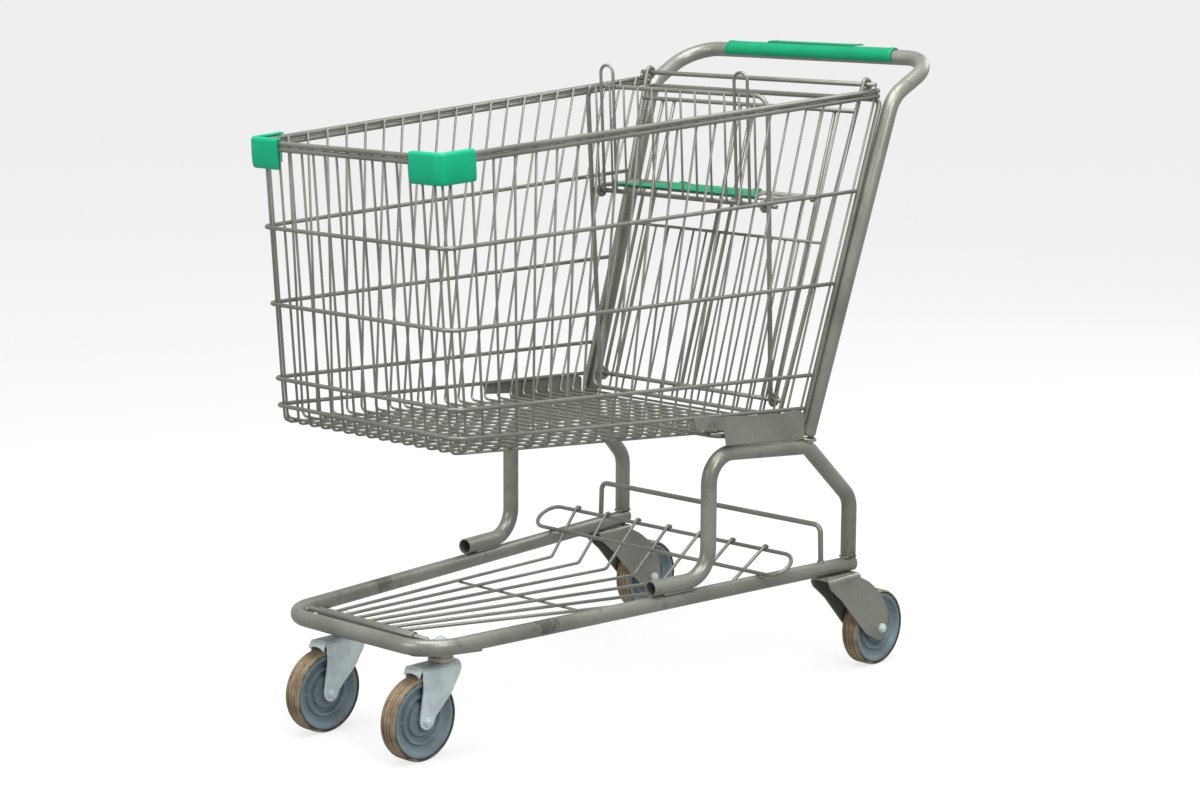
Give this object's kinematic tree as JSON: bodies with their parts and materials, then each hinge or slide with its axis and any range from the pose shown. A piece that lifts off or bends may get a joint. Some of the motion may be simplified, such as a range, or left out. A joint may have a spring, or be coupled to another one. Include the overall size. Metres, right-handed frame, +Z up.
{
  "type": "shopping trolley",
  "caption": "Nesting supermarket trolley: deep wire basket on a tubular wheeled frame, swinging rear gate with fold-up child seat, hinged lower tray and swivel casters under the nose.",
  "frame": {"origin": "on the floor, under the middle of the trolley's length and width", "axes": "+Z up; +Y towards the handle, so the nose points to -Y; +X to the user's left"},
  "size_m": [0.5577, 1.0965, 1.0036],
  "materials": {
    "frame_paint": "semi-gloss olive-grey lacquer over steel",
    "zinc_plate": "bright zinc plate",
    "green_plastic": "moulded green plastic",
    "hub_plastic": "moulded blue-grey plastic",
    "tyre_rubber": "worn tan-brown rubber"
  },
  "bodies": {
    "chassis": {"base_frame": "frame_paint", "basket_floor": "frame_paint", "basket_front": "frame_paint", "basket_hoop_1": "frame_paint", "basket_hoop_2": "frame_paint", "basket_hoop_3": "frame_paint", "basket_hoop_4": "frame_paint", "basket_rear_rod": "frame_paint", "basket_rim_lower": "frame_paint", "basket_rim_upper": "frame_paint", "basket_side_left": "frame_paint", "basket_side_right": "frame_paint", "basket_support_rod": "frame_paint", "card_panel": "green_plastic", "caster_plate_left": "frame_paint", "caster_plate_right": "frame_paint", "caster_stem_left": "zinc_plate", "caster_stem_right": "zinc_plate", "corner_bumper_left": "green_plastic", "corner_bumper_right": "green_plastic", "gate_hinge_rod": "frame_paint", "handle_frame": "frame_paint", "handle_grip": "green_plastic", "rear_axle_bolt_left": "zinc_plate", "rear_axle_bolt_right": "zinc_plate", "rear_fork_left": "frame_paint", "rear_fork_right": "frame_paint", "rear_guard_rod": "frame_paint", "side_bracket_left": "frame_paint", "side_bracket_right": "frame_paint", "side_frame_left": "frame_paint", "side_frame_right": "frame_paint", "tray_hinge_rod": "frame_paint"},
    "caster_left": {"caster_fork_left": "zinc_plate", "front_axle_bolt_left": "zinc_plate"},
    "caster_right": {"caster_fork_right": "zinc_plate", "front_axle_bolt_right": "zinc_plate"},
    "front_wheel_left": {"front_wheel_left_hub": "hub_plastic", "front_wheel_left_tyre": "tyre_rubber"},
    "front_wheel_right": {"front_wheel_right_hub": "hub_plastic", "front_wheel_right_tyre": "tyre_rubber"},
    "rear_wheel_left": {"rear_wheel_left_hub": "hub_plastic", "rear_wheel_left_tyre": "tyre_rubber"},
    "rear_wheel_right": {"rear_wheel_right_hub": "hub_plastic", "rear_wheel_right_tyre": "tyre_rubber"},
    "lower_tray": {"tray_wires": "frame_paint", "tray_loop": "frame_paint"},
    "rear_gate": {"gate_frame": "frame_paint", "gate_grid": "frame_paint", "gate_leg_bars_left": "frame_paint", "gate_leg_bars_centre": "frame_paint", "gate_leg_bars_right": "frame_paint"},
    "seat_back": {"seat_back_frame": "frame_paint", "seat_back_grid": "frame_paint", "seat_cross_rod": "frame_paint"},
    "seat": {"seat_frame": "frame_paint", "seat_grid": "frame_paint"},
    "seat_flap": {"seat_flap": "green_plastic"}
  },
  "joints": [
    {"name": "caster_swivel_left", "type": "hinge", "parent": "chassis", "child": "caster_left", "pos_m": [0.105, -0.438, 0.16575], "axis": [0, 0, 1], "continuous": true},
    {"name": "front_wheel_spin_left", "type": "hinge", "parent": "caster_left", "child": "front_wheel_left", "pos_m": [0.105, -0.484, 0.0625], "axis": [1, 0, 0], "continuous": true},
    {"name": "rear_wheel_spin_left", "type": "hinge", "parent": "chassis", "child": "rear_wheel_left", "pos_m": [0.2525, 0.398, 0.0625], "axis": [1, 0, 0], "continuous": true},
    {"name": "caster_swivel_right", "type": "hinge", "parent": "chassis", "child": "caster_right", "pos_m": [-0.105, -0.438, 0.16575], "axis": [0, 0, 1], "continuous": true},
    {"name": "front_wheel_spin_right", "type": "hinge", "parent": "caster_right", "child": "front_wheel_right", "pos_m": [-0.105, -0.484, 0.0625], "axis": [1, 0, 0], "continuous": true},
    {"name": "rear_wheel_spin_right", "type": "hinge", "parent": "chassis", "child": "rear_wheel_right", "pos_m": [-0.2525, 0.398, 0.0625], "axis": [1, 0, 0], "continuous": true},
    {"name": "tray_hinge", "type": "hinge", "parent": "chassis", "child": "lower_tray", "pos_m": [0, -0.488, 0.186], "axis": [1, 0, 0], "range_deg": [0, 12]},
    {"name": "gate_hinge", "type": "hinge", "parent": "chassis", "child": "rear_gate", "pos_m": [0, 0.378, 0.95], "axis": [-1, 0, 0], "range_deg": [0, 75]},
    {"name": "seat_back_pivot", "type": "hinge", "parent": "rear_gate", "child": "seat_back", "pos_m": [0, 0.21596, 0.455], "axis": [-1, 0, 0], "range_deg": [0, 17]},
    {"name": "seat_pivot", "type": "hinge", "parent": "seat_back", "child": "seat", "pos_m": [0, 0.19879, 0.76543], "axis": [1, 0, 0], "range_deg": [0, 80]},
    {"name": "flap_pivot", "type": "hinge", "parent": "seat", "child": "seat_flap", "pos_m": [0, 0.29379, 0.77343], "axis": [1, 0, 0], "range_deg": [-105, 0]}
  ],
  "couplings": [
    {"joint": "seat_pivot", "follows": "seat_back_pivot", "ratio": 4.7}
  ]
}
